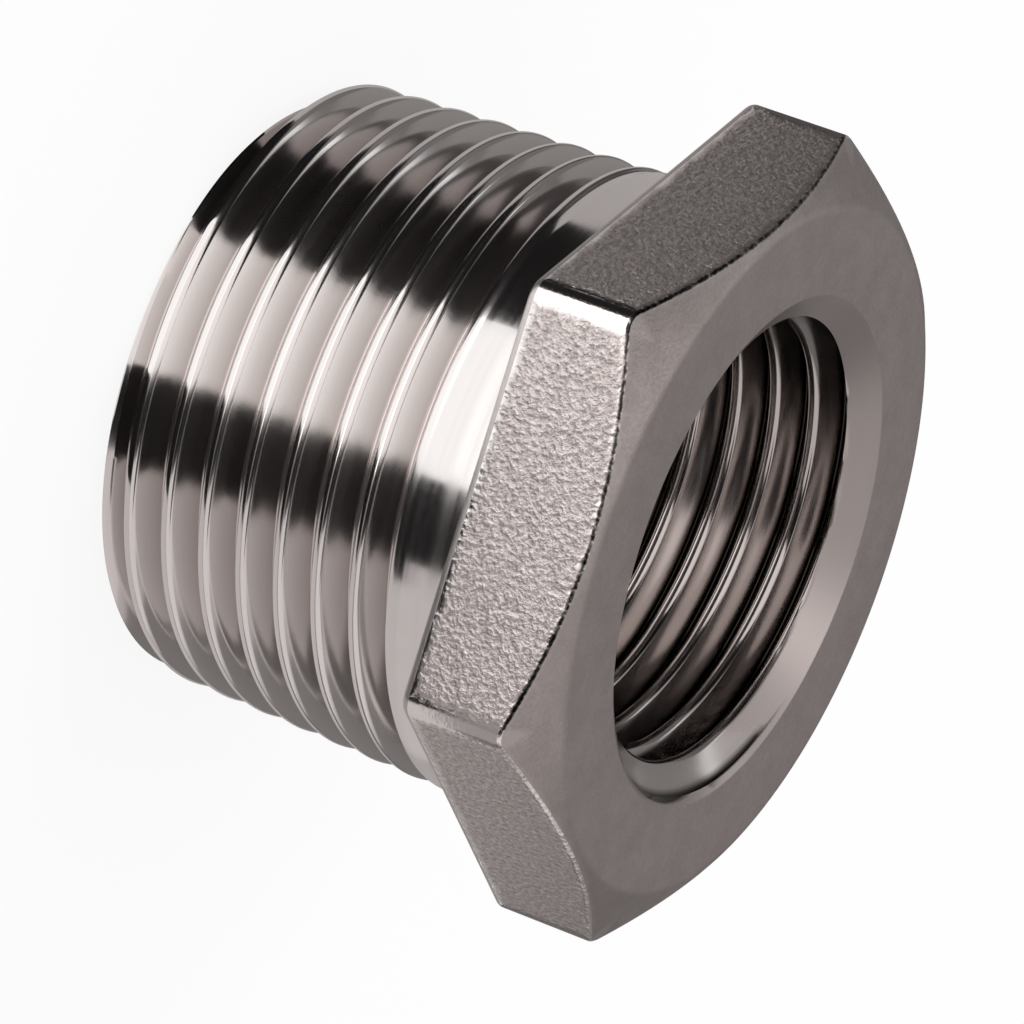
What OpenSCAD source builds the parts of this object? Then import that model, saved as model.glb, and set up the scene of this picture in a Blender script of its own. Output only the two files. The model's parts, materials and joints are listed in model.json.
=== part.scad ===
// Hexagon reducing bush: a taper male thread, a hexagon head and a smaller female thread in one piece.
// It stands on the end of its male thread, with the axis along +Z and the head at the top.
// The male thread is a true right-hand helix on its taper. The female thread is left as the hole that is
// drilled before tapping, at the size of its crests.

/* [Hexagon head] */
// Distance across the flats, which is the spanner size
across_flats = 30; // [28:0.5:36]
// Height of the head, from its shoulder to its front face
head_h = 6; // [4:0.5:10]
// Radius of the rounded cast corners between the flats
corner_r = 0.9; // [0.2:0.1:2]
// How far the turned front face stops short of each flat
face_inset = 0.42; // [0.1:0.02:1.5]
// Slope of the turned chamfer that cuts the corners, measured from the front face
chamfer_angle = 30; // [15:1:40]

/* [Male taper thread] */
// Major diameter of the male thread at its gauge plane, 3/4 nominal
male_d = 26.441; // [24:0.001:27.2]
// Distance of the gauge plane from the thread's small end
gauge_l = 9.5; // [7:0.1:12]
// Length along the axis in which the diameter grows by 1
taper_run = 16; // [12:1:32]
// Length of the barrel, from its small end to the head
barrel_l = 17.2; // [15:0.1:24]
// Length of the plain parallel shank between the thread and the head
shank_l = 2.6; // [1:0.1:5]
// Width of the flattened top of each ridge, along the axis
crest_w = 0.36; // [0.1:0.02:0.5]
// Width of the bottom of the groove between two ridges, along the axis
root_w = 0.12; // [0.06:0.02:0.3]
// Length along the axis in which the groove fades out before the shank
runout_l = 1; // [0.4:0.1:1.8]
// Width and height of the chamfer at the barrel's small end
end_chamfer = 0.65; // [0.2:0.05:2]

/* [Female thread] */
// Major diameter of the female thread, 1/2 nominal
female_d = 20.955; // [19.5:0.001:22]
// Pitch of both threads, 14 turns to the inch
pitch = 1.814; // [1.337:0.001:2.309]
// Depth of the tapped wall, from the front face
tapped_l = 15; // [12:0.5:19]
// How far the mouth's countersink opens beyond the female thread's major radius
mouth_margin = 0.42; // [0.1:0.02:1.2]
// Included angle of the mouth's countersink
mouth_angle = 120; // [90:5:140]

/* [Waterway] */
// Diameter of the plain waterway behind the female thread
waterway_d = 17.5; // [12:0.5:18]
// Included angle of the step between the tapped wall and the waterway
step_angle = 118; // [60:2:140]
// Width and height of the chamfer where the waterway meets the barrel's end
waterway_chamfer = 0.4; // [0.1:0.1:1]

/* [Hidden] */
$fn = 96;
// Depth of a 55 degree thread with rounded crests and roots, for each unit of pitch
DEPTH_FACTOR = 0.640327;
// Slope of each flank of the thread, measured from a plane square to the axis
FLANK_ANGLE = 27.5;
// Flat facets in each turn of the male thread
TURN_FACETS = 60;
FLATS = 6;
FLAT_STEP = 360 / FLATS;
// How far a cutting shape runs past the surface that it cuts
OVERRUN = 1;
// How far the helix stays inside the shank's wall, once its groove has faded out
SHANK_COVER = 0.1;
// The helix starts two turns below the small end, which is cut square afterwards
FIRST_TURN = -2;
STEEL = [0.54, 0.51, 0.50];

total_h = barrel_l + head_h;
flat_r = across_flats / 2;
// Centres of the rounded corners, and the sharp corner that they replace
corner_centre = (flat_r - corner_r) / cos(FLAT_STEP / 2);
sharp_corner = flat_r / cos(FLAT_STEP / 2);
face_r = flat_r - face_inset;
blank_r = sharp_corner + OVERRUN;
chamfer_h = (blank_r - face_r) * tan(chamfer_angle);

// Radius of the thread's crests at a height above the small end
function crest_r(z) = male_d / 2 + (z - gauge_l) / taper_run / 2;
thread_l = barrel_l - shank_l;
shank_r = crest_r(thread_l);
end_r = crest_r(end_chamfer) - end_chamfer;
groove_depth = (pitch - crest_w - root_w) / 2 / tan(FLANK_ANGLE);

tapped_r = female_d / 2 - DEPTH_FACTOR * pitch;
mouth_r = female_d / 2 + mouth_margin;
mouth_h = (mouth_r - tapped_r) / tan(mouth_angle / 2);
mouth_overrun = OVERRUN * tan(mouth_angle / 2);
waterway_r = waterway_d / 2;
step_h = (tapped_r - waterway_r) / tan(step_angle / 2);
tapped_floor = total_h - tapped_l;
waterway_mouth_r = waterway_r + waterway_chamfer;

// A hexagon whose corners are arcs that run smoothly into its flats
module rounded_hexagon() {
    // each corner gives the two points where its arc meets the flats beside it
    tangents = [
        for (i = [0:FLATS - 1], side = [-1, 1])
            let (corner = (i + 0.5) * FLAT_STEP, flat = corner + side * FLAT_STEP / 2)
                corner_centre * [cos(corner), sin(corner)] + corner_r * [cos(flat), sin(flat)]
    ];
    polygon(tangents);
    for (i = [0:FLATS - 1])
        rotate((i + 0.5) * FLAT_STEP)
            translate([corner_centre, 0])
                circle(r = corner_r);
}

// The turned blank of the head: a disc whose front edge is the chamfer's cone
module head_blank() {
    rotate_extrude()
        polygon([
            [0, barrel_l],
            [blank_r, barrel_l],
            [blank_r, total_h - chamfer_h],
            [face_r, total_h],
            [0, total_h]
        ]);
}

// The head: each flat ends at the front in the curve that the chamfer's cone cuts across it
module head() {
    intersection() {
        translate([0, 0, barrel_l])
            linear_extrude(head_h)
                rounded_hexagon();
        head_blank();
    }
}

// The thread's section over one turn: each row's place along the axis and its share of the depth.
// The first two rows are the edges of the flattened top, and the last two are the groove's bottom.
SECTION = [
    [-crest_w / 2, 0],
    [crest_w / 2, 0],
    [(pitch - root_w) / 2, 1],
    [(pitch + root_w) / 2, 1]
];
ROWS = len(SECTION);

// How much of the groove is left at a height: all of it along the thread, and none at the shank
function groove_left(z) = max(0, min(1, (thread_l - z) / runout_l));
function helix_r(z, share) =
    z > thread_l ? shank_r - SHANK_COVER : crest_r(z) - share * groove_depth * groove_left(z);
// A point of the helix: the row counts on through the turns, and the facet goes round the axis
function helix_point(row, facet) =
    let (
        angle = 360 * facet / TURN_FACETS,
        turn = FIRST_TURN + floor(row / ROWS) + facet / TURN_FACETS,
        z = turn * pitch + SECTION[row % ROWS][0],
        r = helix_r(z, SECTION[row % ROWS][1])
    ) [r * cos(angle), r * sin(angle), z];

// The male thread as one solid screw. Each row of points winds on into the row one turn above it,
// and a fan of facets round a point on the axis closes each end.
module screw() {
    last_turn = ceil(thread_l / pitch) + 2;
    rows = (last_turn - FIRST_TURN) * ROWS;
    points = [
        for (row = [0:rows - 1], facet = [0:TURN_FACETS - 1])
            helix_point(row, facet)
    ];
    // a point's number; the facet past the last one is the first one of the row a turn above
    function number(row, facet) =
        facet < TURN_FACETS ? row * TURN_FACETS + facet : (row + ROWS) * TURN_FACETS;
    low_centre = rows * TURN_FACETS;
    top_row = rows - 1 - ROWS;
    sides = [
        for (row = [0:top_row - 1], facet = [0:TURN_FACETS - 1])
            each [
                [number(row, facet), number(row + 1, facet), number(row + 1, facet + 1)],
                [number(row, facet), number(row + 1, facet + 1), number(row, facet + 1)]
            ]
    ];
    low_end = [
        for (facet = [0:TURN_FACETS - 1]) [low_centre, number(0, facet), number(0, facet + 1)],
        for (row = [0:ROWS - 1]) [low_centre, number(row + 1, 0), number(row, 0)]
    ];
    top_end = [
        for (facet = [0:TURN_FACETS - 1])
            [low_centre + 1, number(top_row, facet + 1), number(top_row, facet)],
        for (row = [top_row:top_row + ROWS - 1]) [low_centre + 1, number(row, 0), number(row + 1, 0)]
    ];
    centres = [[0, 0, (FIRST_TURN + 0.5) * pitch], [0, 0, (last_turn - 1) * pitch]];
    polyhedron(points = concat(points, centres), faces = concat(sides, low_end, top_end));
}

// The barrel: the screw, cut square and chamfered at its small end, and the shank, rooted in the head
module barrel() {
    wide_r = shank_r + OVERRUN;
    blank_top = thread_l + OVERRUN;
    intersection() {
        screw();
        rotate_extrude()
            polygon([
                [0, 0],
                [end_r, 0],
                [wide_r, wide_r - end_r],
                [wide_r, blank_top],
                [0, blank_top]
            ]);
    }
    translate([0, 0, thread_l])
        cylinder(r = shank_r, h = shank_l + head_h / 2);
}

// The bore, from the front: countersunk mouth, tapped wall, drilled step, waterway and its chamfer
module bore() {
    translate([0, 0, tapped_floor])
        cylinder(r = tapped_r, h = tapped_l + OVERRUN);
    translate([0, 0, total_h - mouth_h])
        cylinder(r1 = tapped_r, r2 = mouth_r + mouth_overrun, h = mouth_h + OVERRUN);
    translate([0, 0, tapped_floor - step_h])
        cylinder(r1 = waterway_r, r2 = tapped_r, h = step_h);
    translate([0, 0, -OVERRUN])
        cylinder(r = waterway_r, h = tapped_floor + OVERRUN);
    translate([0, 0, -OVERRUN])
        cylinder(r1 = waterway_mouth_r + OVERRUN, r2 = waterway_r, h = waterway_chamfer + OVERRUN);
}

module bush() {
    color(STEEL)
        difference() {
            union() {
                barrel();
                head();
            }
            bore();
        }
}

bush();
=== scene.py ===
# %% [markdown]
# A hexagon reducing bush in stainless steel: a small pipe screws into its head, and the bush screws into
# a larger fitting. The real one is cast, and then its end, threads, cone and front face are cut on a lathe.
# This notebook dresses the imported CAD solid. It has one piece, because the real thing is one piece.
# First the frame is loaded, and the sizes that the looks need are read from it.

# %% Load the frame
import json
import math

import bmesh
import bpy
from mathutils import Matrix, Vector


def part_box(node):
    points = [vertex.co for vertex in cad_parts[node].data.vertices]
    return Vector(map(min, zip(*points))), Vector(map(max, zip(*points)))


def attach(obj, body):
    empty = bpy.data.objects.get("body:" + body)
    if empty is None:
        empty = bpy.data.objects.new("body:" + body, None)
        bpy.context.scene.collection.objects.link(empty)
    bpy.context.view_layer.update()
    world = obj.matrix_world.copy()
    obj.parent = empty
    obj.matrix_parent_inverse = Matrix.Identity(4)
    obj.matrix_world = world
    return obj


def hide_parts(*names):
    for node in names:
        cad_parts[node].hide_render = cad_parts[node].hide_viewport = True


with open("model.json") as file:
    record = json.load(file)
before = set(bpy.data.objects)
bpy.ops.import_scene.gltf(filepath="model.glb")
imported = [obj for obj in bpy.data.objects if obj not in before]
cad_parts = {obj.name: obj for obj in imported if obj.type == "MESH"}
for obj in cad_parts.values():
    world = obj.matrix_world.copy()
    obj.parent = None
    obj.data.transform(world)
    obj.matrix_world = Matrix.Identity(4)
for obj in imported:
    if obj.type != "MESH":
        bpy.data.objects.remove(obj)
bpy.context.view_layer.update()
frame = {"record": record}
MM = 0.001
mounts = {mount["name"]: mount for mount in frame["record"]["mounts"]}
low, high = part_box("bush")

# %% [markdown]
# The sizes of the looks come from the frame where it has them: the flats, the height, the bores and the
# gauge plane. A pipe thread adds its own numbers: 14 turns to the inch, a taper of 1 in 16 on the
# diameter, and flanks that stand 55 degrees apart. The solid has flat crests and roots, and here arcs of
# the same width take their place. Such small roundings are what makes metal look real.

# %% Sizes
CORNER_R = 0.9 * MM
FACE_INSET = 0.42 * MM
CHAMFER_SLOPE = math.radians(30)
SHANK_L = 2.6 * MM
THREAD_GAUGE_D = 26.441 * MM
FEMALE_MAJOR_D = 20.955 * MM
MOUTH_MARGIN = 0.42 * MM
TAPPED_L = 15 * MM
STEP_SLOPE = math.radians(59)
TOTAL_H = high.z
FLAT_R = high.x
FACE_R = FLAT_R - FACE_INSET
BARREL_L = mounts["shoulder_face"]["pos_m"][2]
THREAD_L = BARREL_L - SHANK_L
PITCH = 1.814 * MM
CREST_W = 0.36 * MM
ROOT_W = 0.12 * MM
RUNOUT_L = 1.0 * MM
TAPER = 1 / 32
GAUGE_R = THREAD_GAUGE_D / 2
GAUGE_Z = mounts["male_thread"]["pos_m"][2]
CREST_R_AT_END = GAUGE_R - TAPER * GAUGE_Z
SHANK_R = CREST_R_AT_END + TAPER * THREAD_L
END_CHAMFER = 0.65 * MM
TAPPED_R = mounts["female_thread"]["dims"]["r_mm"] * MM
TAPPED_FLOOR = TOTAL_H - TAPPED_L
MOUTH_R = FEMALE_MAJOR_D / 2 + MOUTH_MARGIN
MOUTH_SLOPE = math.radians(30)
WATERWAY_R = mounts["waterway"]["dims"]["r_mm"] * MM
WATERWAY_CHAMFER = 0.4 * MM
STEP_H = (TAPPED_R - WATERWAY_R) / math.tan(STEP_SLOPE)
print("crest radius at the small end, mm:", round(CREST_R_AT_END / MM, 3), "shank:", round(SHANK_R / MM, 3))

# %% [markdown]
# Every ring of the piece has the same columns, so that the hexagon, the threads and the bore can be sewn
# together with no gap. The rounded corners of the hexagon are narrow, less than four degrees each as
# seen from the axis, so the columns stand close together there and wide apart along the flats.

# %% The columns that every ring shares
SIDES = 6
SIDE_ANGLE = math.tau / SIDES
CORNER_COLUMNS = 8
FLAT_COLUMNS = 24
COLUMNS = SIDES * (CORNER_COLUMNS + FLAT_COLUMNS)
CORNER_CENTRE = (FLAT_R - CORNER_R) / math.cos(SIDE_ANGLE / 2)
TANGENT_ACROSS = CORNER_R * math.sin(SIDE_ANGLE / 2)
TANGENT_OUT = CORNER_CENTRE + CORNER_R * math.cos(SIDE_ANGLE / 2)
HALF_CORNER = math.atan2(TANGENT_ACROSS, TANGENT_OUT)
FIRST_ANGLE = SIDE_ANGLE / 2 - HALF_CORNER


def column_angle(column):
    """Angle of a column about the axis. Column 0 stands where a rounded corner begins."""
    side, step = divmod(column, CORNER_COLUMNS + FLAT_COLUMNS)
    in_corner = min(step, CORNER_COLUMNS) * 2 * HALF_CORNER / CORNER_COLUMNS
    on_flat = max(step - CORNER_COLUMNS, 0) * (SIDE_ANGLE - 2 * HALF_CORNER) / FLAT_COLUMNS
    return FIRST_ANGLE + side * SIDE_ANGLE + in_corner + on_flat


def hexagon_radius(angle):
    """How far the rounded hexagon reaches at an angle about the axis."""
    from_corner = (angle + SIDE_ANGLE) % SIDE_ANGLE - SIDE_ANGLE / 2
    if abs(from_corner) < HALF_CORNER:
        across = CORNER_CENTRE * math.sin(from_corner)
        return CORNER_CENTRE * math.cos(from_corner) + math.sqrt(CORNER_R**2 - across**2)
    return FLAT_R / math.cos(SIDE_ANGLE / 2 - abs(from_corner))


angles = [column_angle(column) for column in range(COLUMNS)]
outline = [hexagon_radius(angle) for angle in angles]
outline_mm = [round(reach / MM, 3) for reach in (min(outline), max(outline))]
print(COLUMNS, "columns; least and greatest reach of the hexagon, mm:", outline_mm)

# %% [markdown]
# Both threads are one and the same thing with other numbers: a groove of the 55 degree form that winds
# up a cone or a cylinder. Geometry Nodes suit it, because every point follows one rule. The tree sweeps
# a grid along the helix. Its rows crowd in the rounded crests and roots, where the surface turns, and the
# straight flanks need few. The heights are then held between the two ends, the groove fades out where the
# tool ran out, and a cut trims the crests: the chamfer on the outside, the countersink on the inside.

# %% A helper for node formulas
def math_node(tree, operation, *values):
    """A Math node whose inputs are sockets or numbers. It returns the node's result."""
    node = tree.nodes.new("ShaderNodeMath")
    node.operation = operation
    for socket, value in zip(node.inputs, values):
        if isinstance(value, bpy.types.NodeSocket):
            tree.links.new(value, socket)
        else:
            socket.default_value = value
    return node.outputs[0]


# %% The form of the thread
FLANK_ANGLE = math.radians(27.5)
ARC_ANGLE = math.pi / 2 - FLANK_ANGLE


def arc_for(flat_width):
    """Radius, in pitches, of the arc that takes the place of a flat between two flanks."""
    apex = flat_width / PITCH / 2 / math.tan(FLANK_ANGLE)
    return apex / (1 / math.sin(FLANK_ANGLE) - 1)


CREST_ARC = arc_for(CREST_W)
ROOT_ARC = arc_for(ROOT_W)
CREST_REACH = CREST_ARC * math.sin(ARC_ANGLE)
ROOT_REACH = ROOT_ARC * math.sin(ARC_ANGLE)
ROOT_DROP = ROOT_ARC * (1 - math.cos(ARC_ANGLE))
FLANK_REACH = 0.5 - CREST_REACH - ROOT_REACH
ARC_STEPS = 4
FLANK_STEPS = 2
HALF_STEPS = 2 * ARC_STEPS + FLANK_STEPS
print("arcs of the crests and roots, mm:", round(CREST_ARC * PITCH / MM, 3), round(ROOT_ARC * PITCH / MM, 3))

# %% [markdown]
# Named inputs tell the tree which thread to cut, so one tree serves both. The side of the groove is -1 on
# the outside and 1 on the inside, and the material comes in as an input too.

# %% The tree and its inputs
thread_tree = bpy.data.node_groups.new("pipe_thread", "GeometryNodeTree")
thread_tree.is_modifier = True
THREAD_INPUTS = (
    ("Pitch", "NodeSocketFloat"),
    ("Turns", "NodeSocketInt"),
    ("First Turn", "NodeSocketInt"),
    ("Phase", "NodeSocketFloat"),
    ("Crest Radius", "NodeSocketFloat"),
    ("Taper", "NodeSocketFloat"),
    ("Groove Side", "NodeSocketFloat"),
    ("Low End", "NodeSocketFloat"),
    ("High End", "NodeSocketFloat"),
    ("Run-out Height", "NodeSocketFloat"),
    ("Run-out Length", "NodeSocketFloat"),
    ("Cut Radius", "NodeSocketFloat"),
    ("Cut Height", "NodeSocketFloat"),
    ("Cut Slope", "NodeSocketFloat"),
    ("Edge Softness", "NodeSocketFloat"),
    ("Material", "NodeSocketMaterial"),
)
thread_tree.interface.new_socket("Geometry", in_out="INPUT", socket_type="NodeSocketGeometry")
for socket_name, socket_type in THREAD_INPUTS:
    thread_tree.interface.new_socket(socket_name, in_out="INPUT", socket_type=socket_type)
thread_tree.interface.new_socket("Geometry", in_out="OUTPUT", socket_type="NodeSocketGeometry")
given = thread_tree.nodes.new("NodeGroupInput").outputs


def calc(operation, *values):
    """One step of the thread's formula."""
    return math_node(thread_tree, operation, *values)


# %% [markdown]
# The grid has one row for each step of the form and one column for each angle. A point of it knows only
# its place, so the row and the column are read back from that.

# %% The grid, and the angle of a column
rows = calc("MULTIPLY", given["Turns"], 2.0 * HALF_STEPS)
grid = thread_tree.nodes.new("GeometryNodeMeshGrid")
thread_tree.links.new(rows, grid.inputs["Size X"])
grid.inputs["Size Y"].default_value = COLUMNS
thread_tree.links.new(calc("ADD", rows, 1.0), grid.inputs["Vertices X"])
grid.inputs["Vertices Y"].default_value = COLUMNS + 1
place = thread_tree.nodes.new("GeometryNodeInputPosition")
apart = thread_tree.nodes.new("ShaderNodeSeparateXYZ")
thread_tree.links.new(place.outputs[0], apart.inputs[0])
row = calc("ROUND", calc("ADD", apart.outputs["X"], calc("DIVIDE", rows, 2.0)))
column = calc("ROUND", calc("ADD", apart.outputs["Y"], COLUMNS / 2))

# the column's angle, by the rule of column_angle above
side_columns = CORNER_COLUMNS + FLAT_COLUMNS
side = calc("FLOOR", calc("DIVIDE", calc("ADD", column, 0.5), side_columns))
step = calc("SUBTRACT", column, calc("MULTIPLY", side, side_columns))
in_corner = calc("MULTIPLY", calc("MINIMUM", step, CORNER_COLUMNS), 2 * HALF_CORNER / CORNER_COLUMNS)
past_corner = calc("MAXIMUM", calc("SUBTRACT", step, CORNER_COLUMNS), 0.0)
on_flat = calc("MULTIPLY", past_corner, (SIDE_ANGLE - 2 * HALF_CORNER) / FLAT_COLUMNS)
from_first = calc("ADD", calc("ADD", calc("MULTIPLY", side, SIDE_ANGLE), in_corner), on_flat)
angle = calc("ADD", from_first, FIRST_ANGLE)
turn = calc("DIVIDE", angle, math.tau)

# %% [markdown]
# A row's number tells how far the point lies from the nearest crest, counted in pitches. Together with the
# turn it gives the height on the helix. The height is then held between the thread's two ends, so the rows
# past an end are pressed flat against it and can be merged there.

# %% Height on the helix
crest_row = calc("ROUND", calc("DIVIDE", row, 2.0 * HALF_STEPS))
past_crest = calc("SUBTRACT", row, calc("MULTIPLY", crest_row, 2.0 * HALF_STEPS))
steps_away = calc("ABSOLUTE", past_crest)
ARC_STEP = ARC_ANGLE / ARC_STEPS
crest_part = calc("SINE", calc("MULTIPLY", calc("MINIMUM", steps_away, ARC_STEPS), ARC_STEP))
flank_part = calc("DIVIDE", calc("SUBTRACT", steps_away, ARC_STEPS), FLANK_STEPS)
flank_part = calc("MINIMUM", calc("MAXIMUM", flank_part, 0.0), 1.0)
root_steps = calc("SUBTRACT", HALF_STEPS, calc("MAXIMUM", steps_away, ARC_STEPS + FLANK_STEPS))
root_part = calc("SINE", calc("MULTIPLY", root_steps, ARC_STEP))
arcs = calc("SUBTRACT", calc("MULTIPLY", crest_part, CREST_ARC), calc("MULTIPLY", root_part, ROOT_ARC))
reach = calc("ADD", calc("ADD", arcs, ROOT_REACH), calc("MULTIPLY", flank_part, FLANK_REACH))
reach = calc("MULTIPLY", reach, calc("SIGN", past_crest))
pitches = calc("ADD", calc("ADD", given["First Turn"], crest_row), reach)

# the height, held between the thread's two ends
on_helix = calc("ADD", calc("MULTIPLY", calc("ADD", pitches, turn), given["Pitch"]), given["Phase"])
height = calc("MINIMUM", calc("MAXIMUM", on_helix, given["Low End"]), given["High End"])

# %% [markdown]
# The depth below the crests follows from the held height, so that it is right at the ends too. It falls
# along a crest arc, a straight flank and a root arc, and fades out where the tool left the work.

# %% Depth of the groove
turns_up = calc("DIVIDE", calc("SUBTRACT", height, given["Phase"]), given["Pitch"])
pitches_there = calc("SUBTRACT", turns_up, turn)
from_crest = calc("ABSOLUTE", calc("SUBTRACT", pitches_there, calc("ROUND", pitches_there)))


def arc_drop(distance, arc, arc_reach):
    """How far an arc of the form has fallen at a distance from its top, in pitches."""
    held = calc("MINIMUM", distance, arc_reach)
    squared = calc("SUBTRACT", arc**2, calc("MULTIPLY", held, held))
    return calc("SUBTRACT", arc, calc("SQRT", squared))


down_flank = calc("MINIMUM", calc("MAXIMUM", calc("SUBTRACT", from_crest, CREST_REACH), 0.0), FLANK_REACH)
down_flank = calc("DIVIDE", down_flank, math.tan(FLANK_ANGLE))
off_crest = arc_drop(from_crest, CREST_ARC, CREST_REACH)
into_root = calc("SUBTRACT", ROOT_DROP, arc_drop(calc("SUBTRACT", 0.5, from_crest), ROOT_ARC, ROOT_REACH))
depth = calc("ADD", calc("ADD", off_crest, down_flank), into_root)
depth = calc("MULTIPLY", depth, given["Pitch"])

# the groove fades out where the tool left the work
fade = thread_tree.nodes.new("ShaderNodeMapRange")
fade.interpolation_type = "SMOOTHSTEP"
from_runout = calc("ABSOLUTE", calc("SUBTRACT", height, given["Run-out Height"]))
thread_tree.links.new(from_runout, fade.inputs["Value"])
thread_tree.links.new(given["Run-out Length"], fade.inputs["From Max"])
depth = calc("MULTIPLY", depth, fade.outputs["Result"])

# %% [markdown]
# Last comes the radius. The cut trims it with a softened edge, and the sign of the groove's side turns
# "least" into "greatest" for the inner thread. Merging closes the seam and removes the pressed rows.

# %% Radius, and the end of the tree
cone = calc("ADD", calc("MULTIPLY", height, given["Taper"]), given["Crest Radius"])
thread_radius = calc("ADD", cone, calc("MULTIPLY", depth, given["Groove Side"]))
cut_rise = calc("MULTIPLY", calc("SUBTRACT", height, given["Cut Height"]), given["Cut Slope"])
cut_radius = calc("ADD", cut_rise, given["Cut Radius"])
outward = calc("MULTIPLY", given["Groove Side"], -1.0)
signed_thread = calc("MULTIPLY", thread_radius, outward)
signed_cut = calc("MULTIPLY", cut_radius, outward)
trimmed = calc("SMOOTH_MIN", signed_thread, signed_cut, given["Edge Softness"])
radius = calc("MULTIPLY", trimmed, outward)

# place the points, sew the seam and the rows that were held, and finish the tree
point = thread_tree.nodes.new("ShaderNodeCombineXYZ")
thread_tree.links.new(calc("MULTIPLY", radius, calc("COSINE", angle)), point.inputs["X"])
thread_tree.links.new(calc("MULTIPLY", radius, calc("SINE", angle)), point.inputs["Y"])
thread_tree.links.new(height, point.inputs["Z"])
moved = thread_tree.nodes.new("GeometryNodeSetPosition")
thread_tree.links.new(grid.outputs["Mesh"], moved.inputs["Geometry"])
thread_tree.links.new(point.outputs[0], moved.inputs["Position"])
sewn = thread_tree.nodes.new("GeometryNodeMergeByDistance")
SEAM = 0.002 * MM
sewn.inputs["Distance"].default_value = SEAM
thread_tree.links.new(moved.outputs[0], sewn.inputs["Geometry"])
real = thread_tree.nodes.new("GeometryNodeRealizeInstances")
thread_tree.links.new(sewn.outputs[0], real.inputs["Geometry"])
dressed = thread_tree.nodes.new("GeometryNodeSetMaterial")
thread_tree.links.new(real.outputs[0], dressed.inputs["Geometry"])
thread_tree.links.new(given["Material"], dressed.inputs["Material"])
result = thread_tree.nodes.new("NodeGroupOutput")
thread_tree.links.new(dressed.outputs[0], result.inputs["Geometry"])
print("thread tree:", len(thread_tree.nodes), "nodes,", 2 * HALF_STEPS, "rows a turn")

# %% [markdown]
# The finishes. What the photograph shows as one grey metal has several of them. The outer thread and the
# shank are bright from the die, and shade is painted into the bottom of the grooves. The flats keep the grain
# of the blasted casting, and their edges were rubbed smooth in the tumbling barrel, with a painted highlight
# along them and a line of painted shade where the cone cuts them. The cone and the front face were turned,
# and then dulled to an even satin. The inner thread is darker, and the countersink is smooth. The finishes
# share effects, such as the lathe's rings and the casting's grain. Each effect is a node group, built once,
# which reads the object's own coordinates and has its own numbers in each finish.

# %% Helpers for the effects
def noise_node(tree, vector, scale, detail, roughness=0.5):
    """A noise whose pattern is read at a vector; it returns the noise's value."""
    node = tree.nodes.new("ShaderNodeTexNoise")
    tree.links.new(vector, node.inputs["Vector"])
    node.inputs["Scale"].default_value = scale
    node.inputs["Detail"].default_value = detail
    node.inputs["Roughness"].default_value = roughness
    return node.outputs[0]


def range_node(tree, value, from_low, from_high, to_low, to_high):
    """A Map Range node that keeps its result between the two last numbers. Any number may be a socket."""
    node = tree.nodes.new("ShaderNodeMapRange")
    tree.links.new(value, node.inputs["Value"])
    ends = {"From Min": from_low, "From Max": from_high, "To Min": to_low, "To Max": to_high}
    for name, end in ends.items():
        if isinstance(end, bpy.types.NodeSocket):
            tree.links.new(end, node.inputs[name])
        else:
            node.inputs[name].default_value = end
    return node.outputs["Result"]


def new_group(name, inputs, outputs):
    """A shader node group with named float inputs and outputs, and its input and output nodes."""
    group = bpy.data.node_groups.new(name, "ShaderNodeTree")
    for socket_name in inputs:
        group.interface.new_socket(socket_name, in_out="INPUT", socket_type="NodeSocketFloat")
    for socket_name in outputs:
        group.interface.new_socket(socket_name, in_out="OUTPUT", socket_type="NodeSocketFloat")
    return group, group.nodes.new("NodeGroupInput").outputs, group.nodes.new("NodeGroupOutput").inputs


def object_place(group):
    """The point on the object: its vector, its x, y and z, and its distance from the axis."""
    vector = group.nodes.new("ShaderNodeTexCoord").outputs["Object"]
    split = group.nodes.new("ShaderNodeSeparateXYZ")
    group.links.new(vector, split.inputs[0])
    x, y, z = split.outputs
    squares = math_node(group, "ADD", math_node(group, "MULTIPLY", x, x), math_node(group, "MULTIPLY", y, y))
    return vector, x, y, z, math_node(group, "SQRT", squares)


# %% Shared effect: rings left by the lathe
RING_DETAIL = 1.0
RING_ROUGHNESS = 0.4
TONE_SCALE = 0.45
TONE_DETAIL = 2.0
rings, rings_in, rings_out = new_group("lathe_rings", ("Rings per mm", "Streak Length"), ("Height", "Tone"))
vector, x, y, z, from_axis = object_place(rings)
streak = math_node(rings, "MULTIPLY", rings_in["Streak Length"], MM)
squeezed = rings.nodes.new("ShaderNodeCombineXYZ")
rings.links.new(math_node(rings, "DIVIDE", x, streak), squeezed.inputs["X"])
rings.links.new(math_node(rings, "DIVIDE", y, streak), squeezed.inputs["Y"])
ring_rate = math_node(rings, "MULTIPLY", rings_in["Rings per mm"], 1 / MM)
rings.links.new(math_node(rings, "MULTIPLY", z, ring_rate), squeezed.inputs["Z"])
rings.links.new(noise_node(rings, squeezed.outputs[0], 1.0, RING_DETAIL, RING_ROUGHNESS), rings_out["Height"])
rings.links.new(noise_node(rings, squeezed.outputs[0], TONE_SCALE, TONE_DETAIL), rings_out["Tone"])
print("lathe rings:", len(rings.nodes), "nodes")

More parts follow.
